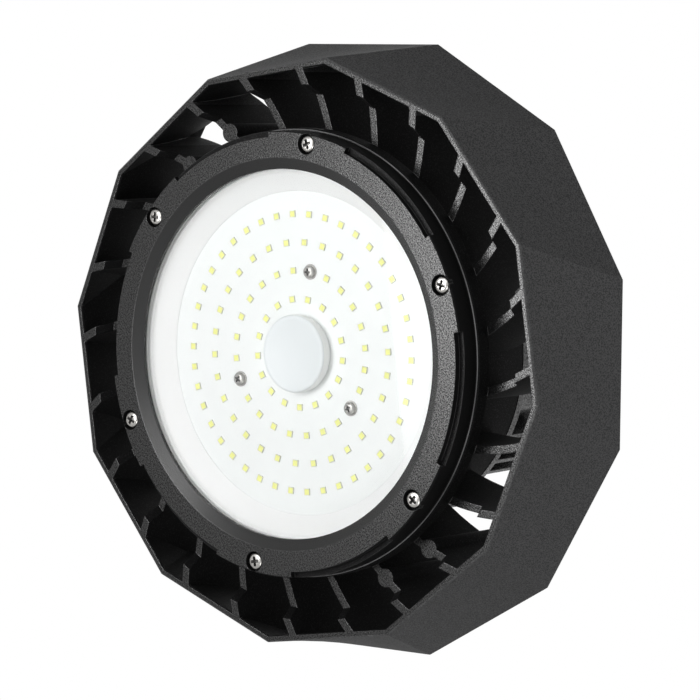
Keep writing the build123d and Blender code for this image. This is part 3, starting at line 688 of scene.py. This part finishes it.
def makeScrewModel(settings, shape):
    radius, height = settings["headRadius"] * mm, settings["headHeight"] * mm
    bpy.ops.object.select_all(action="DESELECT")
    bpy.ops.mesh.primitive_circle_add(vertices=shape["sides"], radius=radius, fill_type="NGON",
                                      location=(0, 0, 0))
    screw = startPiece("screwModel")
    bpy.ops.object.mode_set(mode="EDIT")
    bpy.ops.mesh.select_all(action="SELECT")
    share, rise = shape["head"][0]
    for nextShare, nextRise in shape["head"][1:]:
        extrudeBy((rise - nextRise) * height, nextShare / share)
        share, rise = nextShare, nextRise
    bpy.ops.mesh.select_all(action="SELECT")
    bpy.ops.mesh.normals_make_consistent(inside=False)
    # the shank grows from the underside of the head, up to the node's end
    low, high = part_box(settings["node"])
    seat = settings["seat"] * mm
    shankLength = seat - low.z if settings["upward"] else high.z - seat
    selectFaces(screw, lambda centre, normal: normal.z > squareOn)
    bpy.ops.mesh.inset(thickness=radius - settings["shankRadius"] * mm, depth=0)
    extrudeBy(shankLength * (1 - shape["tipLength"]))
    extrudeBy(shankLength * shape["tipLength"], shape["tipWidth"])
    bpy.ops.object.mode_set(mode="OBJECT")
    for turn in (0, 90):
        cutSlot(screw, shape, radius, height, turn)
    # the faces of the cross recess take the darker recessShade metal: painted shade
    giveFinishes(screw, settings["finish"], recessShade)
    for face in screw.data.polygons:
        inside = math.hypot(face.center.x, face.center.y) < shape["reach"] * radius
        face.material_index = 1 if inside and -shape["crown"] * height < face.center.z < 0 else 0
    if settings["upward"]:
        screw.data.transform(Matrix.Rotation(math.pi, 4, "X"))
    return screw


def cutSlot(screw, shape, radius, height, turn):
    # one slot of the cross, narrower at its floor
    bpy.ops.object.select_all(action="DESELECT")
    bpy.ops.mesh.primitive_cube_add(size=2.0, location=(0, 0, 0))
    cutter = startPiece("slotCutter")
    for vertex in cutter.data.vertices:
        deep = vertex.co.z > 0
        reach = shape["floorReach"] if deep else shape["reach"]
        slot = shape["floorSlot"] if deep else shape["slot"]
        level = shape["depth"] * height if deep else -shape["cutterMargin"] * mm
        vertex.co = Vector((vertex.co.x * reach * radius, vertex.co.y * slot * radius, level - height))
    cutter.data.transform(Matrix.Rotation(math.radians(turn), 4, "Z"))
    cutAway(screw, cutter)


def makeScrews(settings, shape):
    places = []
    for i, turn in enumerate(settings["turns"]):
        angle = settings["angle"] + 360 / len(settings["turns"]) * i
        places.append(onCircle(settings["circle"] * mm, angle, settings["seat"] * mm, turn))
    screws = copyAround(makeScrewModel(settings, shape), settings["name"], places)
    finishPiece(screws, settings["node"], shape["smooth"])


for screwSettings in (bezelScrews, boardScrews, housingScrews):
    makeScrews(screwSettings, screwShape)
print("screws made")


# Centre cap: a shallow moulded cap with a soft outer edge and a faint raised rim
capSettings = {
    "radius": 17.6, "height": 5.5, "sides": 128, "edge": 1.1, "edgeSteps": 5, "edgeAngle": 60,
    "rim": 1.6, "dish": 0.15, "dishSlope": 3, "sideFrom": -0.3, "smooth": 35,
}


def makeCentreCap(settings):
    height, dish = settings["height"] * mm, settings["dish"] * mm
    bpy.ops.object.select_all(action="DESELECT")
    bpy.ops.mesh.primitive_cylinder_add(vertices=settings["sides"], radius=settings["radius"] * mm,
                                        depth=height, location=(0, 0, boardFront - height / 2))
    cap = startPiece("centreCap")
    settleMesh()
    applyModifier(cap, "BEVEL", width=settings["edge"] * mm, segments=settings["edgeSteps"],
                  limit_method="ANGLE", angle_limit=math.radians(settings["edgeAngle"]))
    selectFaces(cap, lambda centre, normal: normal.z < -squareOn)
    bpy.ops.mesh.inset(thickness=settings["rim"] * mm, depth=0)
    bpy.ops.mesh.inset(thickness=dish * settings["dishSlope"], depth=-dish)
    bpy.ops.object.mode_set(mode="OBJECT")
    giveFinishes(cap, materials["cap_white"], capSidePaintedLight)
    # the side wall takes the paler copy: painted light
    for face in cap.data.polygons:
        face.material_index = 1 if face.normal.z > settings["sideFrom"] else 0
    finishPiece(cap, "centre_cap", settings["smooth"])


makeCentreCap(capSettings)
print("centre cap made")


# Reflector ring: a flange under the gasket, a rolled bead beside it, and a flared wall down to the board
reflectorSettings = {
    "profile": ((89.0, 9.5), (84.3, 9.5), (84.0, 8.7), (83.5, 8.3), (82.9, 8.4), (82.5, 8.9),
                (82.2, 9.7), (81.4, 10.3), (80.0, 11.3), (78.0, 12.7), (76.0, 14.2), (74.6, 15.35),
                (73.9, 15.9), (73.5, 16.15), (73.6, 16.19), (75.0, 16.19), (83.8, 11.5), (89.0, 11.5)),
    "sides": 192, "smooth": 40,
}


def makeReflector(settings):
    ring = turnProfile("reflectorRing", settings["profile"], settings["sides"], closed=True)
    giveFinishes(ring, materials["white_reflector"])
    finishPiece(ring, "reflector_ring", settings["smooth"])


makeReflector(reflectorSettings)
print("reflector made")


# Suspension eye: a forged ring on a flared collar, with a plain shank down through the housing
eyeSettings = {
    "ringRadius": 17.5, "section": 4.5, "thickness": 5.0, "height": 158.5,
    "ringSteps": 96, "sectionSteps": 32,
    "collar": ((4.95, 133.0), (13.6, 133.0), (14.0, 133.5), (14.0, 136.4), (13.5, 137.6),
               (12.2, 138.5), (10.0, 139.2), (7.6, 140.2), (6.2, 142.0), (5.6, 144.6)),
    "collarSides": 72, "shank": ((4.3, 115.4), (4.95, 116.2), (4.95, 133.6)), "shankSides": 48,
    "meshSize": 0.55, "softening": 6, "softenFactor": 0.5, "smooth": 40,
}


def makeEye(settings):
    bpy.ops.object.select_all(action="DESELECT")
    bpy.ops.mesh.primitive_torus_add(
        major_segments=settings["ringSteps"], minor_segments=settings["sectionSteps"],
        major_radius=settings["ringRadius"] * mm, minor_radius=settings["section"] * mm,
        location=(0, 0, settings["height"] * mm), rotation=(math.pi / 2, 0, 0))
    ring = startPiece("eyeRing")
    ring.scale = (1, 1, settings["thickness"] / settings["section"])
    settleMesh()
    collar = turnProfile("eyeCollar", settings["collar"], settings["collarSides"])
    # ring and collar melt into one forging
    eye = joinPieces("suspensionEye", [ring, collar])
    applyModifier(eye, "REMESH", mode="VOXEL", voxel_size=settings["meshSize"] * mm)
    applyModifier(eye, "SMOOTH", factor=settings["softenFactor"], iterations=settings["softening"])
    shank = turnProfile("eyeShank", settings["shank"], settings["shankSides"])
    eye = joinPieces("suspensionEye", [eye, shank])
    giveFinishes(eye, materials["zinc_steel"])
    finishPiece(eye, "suspension_eye", settings["smooth"])


makeEye(eyeSettings)
print("suspension eye made")


# Cable gland's dome nut and the vent plug: hexagons under round tops with pressed grips
glandNutSettings = {
    "x": -36.0, "flats": 22.0, "bottom": 139.0, "hexTop": 147.0, "bevel": 0.5, "bore": 8.7, "boreMargin": 1.0,
    "dome": ((6.7, 139.2), (8.7, 139.2), (8.7, 146.9), (10.9, 146.9), (10.9, 148.6), (10.5, 150.6),
             (9.8, 152.3), (8.9, 153.4), (7.6, 154.0), (5.3, 154.0), (4.6, 153.5), (4.5, 151.2),
             (6.7, 151.1)),
    "grips": {"low": 147.2, "high": 150.4, "inner": 10.4, "every": 3, "depth": 0.5, "margin": 0.12},
    "sides": 48, "smooth": 30,
}
ventSettings = {
    "x": 38.0, "flats": 16.0, "bottom": 133.0, "hexTop": 135.5, "bevel": 0.4,
    "dome": ((2.5, 133.2), (2.5, 127.0), (5.9, 127.0), (5.9, 135.2), (7.7, 135.2), (7.7, 136.9), (7.2, 137.6),
             (6.2, 137.95), (4.0, 138.0), (3.6, 137.6), (1.2, 137.5)),
    "grips": {"low": 135.3, "high": 136.8, "inner": 7.5, "every": 4, "depth": 0.6, "margin": 0.12},
    "sides": 48, "smooth": 30,
}


def makeGlandNut(settings):
    bore, margin = settings["bore"], settings["boreMargin"]
    nut = addHexagon("glandNutHexagon", settings)
    hole = ((bore, settings["bottom"] - margin), (bore, settings["hexTop"] + margin))
    cutAway(nut, turnProfile("nutHole", hole, settings["sides"]))
    dome = turnProfile("glandNutDome", settings["dome"], settings["sides"], closed=True)
    finishFitting("glandNut", nut, dome, settings, "cable_gland_nut")


def makeVent(settings):
    plug = addHexagon("ventHexagon", settings)
    dome = turnProfile("ventDome", settings["dome"], settings["sides"])
    finishFitting("ventPlug", plug, dome, settings, "vent_plug")


def finishFitting(name, hexagon, dome, settings, node):
    pressGrips(dome, settings["grips"], settings["sides"])
    fitting = joinPieces(name, [hexagon, dome])
    fitting.data.transform(Matrix.Translation((settings["x"] * mm, 0, 0)))
    giveFinishes(fitting, materials["gland_nylon"])
    finishPiece(fitting, node, settings["smooth"])


makeGlandNut(glandNutSettings)
makeVent(ventSettings)
print("gland nut and vent made")


# Floor, world, lamps and camera

def seenMask(tree):
    # what the camera sees by itself, in a gloss or through glass
    path = addNode(tree, "LightPath")
    direct = mathNode(tree, "MAXIMUM", path.outputs["Is Camera Ray"], path.outputs["Is Transmission Ray"])
    return mathNode(tree, "MAXIMUM", direct, path.outputs["Is Glossy Ray"])


# glow makes the floor a little paler than it is lit, where it is seen
floorSettings = {
    "level": -1.75, "size": 30.0, "colour": (0.9, 0.9, 0.895), "mottle": (0.88, 0.88, 0.875),
    "mottleScale": 1.5, "roughness": 0.7, "gloss": 0.2, "glow": 0.42,
}


def makeFloor(settings):
    bpy.ops.mesh.primitive_plane_add(size=settings["size"], location=(0, 0, settings["level"]))
    floor = startPiece("studioFloor")
    material, tree, shader = newMaterial("paleFloor", {
        "Roughness": settings["roughness"],
        "Specular IOR Level": settings["gloss"],
        "Emission Color": settings["colour"] + (1.0,),
    })
    noise = addNode(tree, "TexNoise", {"Scale": settings["mottleScale"], "Detail": 4.0})
    tree.links.new(addNode(tree, "TexCoord").outputs["Object"], noise.inputs["Vector"])
    tree.links.new(mixColours(tree, noise.outputs["Fac"], settings["mottle"], settings["colour"]),
                   shader.inputs["Base Color"])
    glow = mapRange(tree, seenMask(tree), 0.0, 1.0, 0.0, settings["glow"])
    tree.links.new(glow, shader.inputs["Emission Strength"])
    floor.data.materials.append(material)
    floor.select_set(False)


# ambient lights the object; seen is the white background
worldSettings = {"ambient": 0.15, "seen": 1.0}


def makeWorld(settings):
    world = bpy.data.worlds.new("studio")
    bpy.context.scene.world = world
    world.use_nodes = True
    tree = world.node_tree
    background = tree.nodes["Background"]
    background.inputs["Color"].default_value = (1.0, 1.0, 1.0, 1.0)
    strength = mapRange(tree, seenMask(tree), 0.0, 1.0, settings["ambient"], settings["seen"])
    tree.links.new(strength, background.inputs["Strength"])


softboxes = {
    # its mirror image lies just beside the cover; it lights the flat faces
    "keyBox": {"location": (0.14, -0.073, -0.469), "target": (0.007, 0.205, -0.075), "size": (0.277, 0.2),
               "radiance": 9.4},
    # from the far side of the front
    "fillBox": {"location": (-1.0, 0.3, -0.95), "target": (0, 0, 0.03), "size": (0.6, 0.6), "radiance": 3.7},
    # behind the front plane, for the facets of the shroud
    "sideBox": {"location": (-1.0, 1.0, 0.4), "target": (0, 0, 0.03), "size": (0.8, 0.8), "radiance": 2.2},
    # for the back
    "topBox": {"location": (0.6, -0.5, 1.8), "target": (0, 0, 0.1), "size": (1.0, 1.0), "radiance": 3.0},
    # gleams on one side of the bezel's lip
    "lipBox": {"location": (0.436, 0.484, -0.96), "target": (0.0, -0.088, 0.002), "size": (0.8, 0.8),
               "radiance": 1.6},
    # mirrored as the haze on the right of the cover
    "coverBox": {"location": (0.326, -0.608, -1.234), "target": (-0.045, 0.172, -0.132), "size": (0.31, 0.31),
                 "radiance": 1.25},
}


def addSoftbox(name, settings):
    width, height = settings["size"]
    location = Vector(settings["location"])
    lamp = bpy.data.lights.new(name, "AREA")
    lamp.shape = "RECTANGLE"
    lamp.size, lamp.size_y = width, height
    lamp.energy = settings["radiance"] * math.pi * width * height
    box = bpy.data.objects.new(name, lamp)
    bpy.context.scene.collection.objects.link(box)
    box.location = location
    box.rotation_euler = (Vector(settings["target"]) - location).to_track_quat("-Z", "Y").to_euler()


cameraSettings = {
    "place": (-0.4347, 0.9108, -1.2374), "right": (-0.4167, 0.6702, 0.6142), "up": (0.8695, 0.4910, 0.0541),
    "forward": (0.2652, -0.5566, 0.7873), "lens": 182.86, "sensorWidth": 36.0, "clipEnd": 60.0,
}


def addCamera(settings):
    camera = bpy.data.objects.new("camera", bpy.data.cameras.new("camera"))
    bpy.context.scene.collection.objects.link(camera)
    camera.data.lens = settings["lens"]
    camera.data.sensor_width = settings["sensorWidth"]
    camera.data.clip_end = settings["clipEnd"]
    right, up, forward = (Vector(settings[way]) for way in ("right", "up", "forward"))
    turn = Matrix((right, up, -forward)).transposed()
    camera.matrix_world = Matrix.Translation(settings["place"]) @ turn.to_4x4()
    return camera


makeFloor(floorSettings)
makeWorld(worldSettings)
for boxName, boxSettings in softboxes.items():
    addSoftbox(boxName, boxSettings)
bpy.context.scene.camera = addCamera(cameraSettings)
bpy.context.scene.view_settings.view_transform = "Standard"
print("floor, light and camera set")
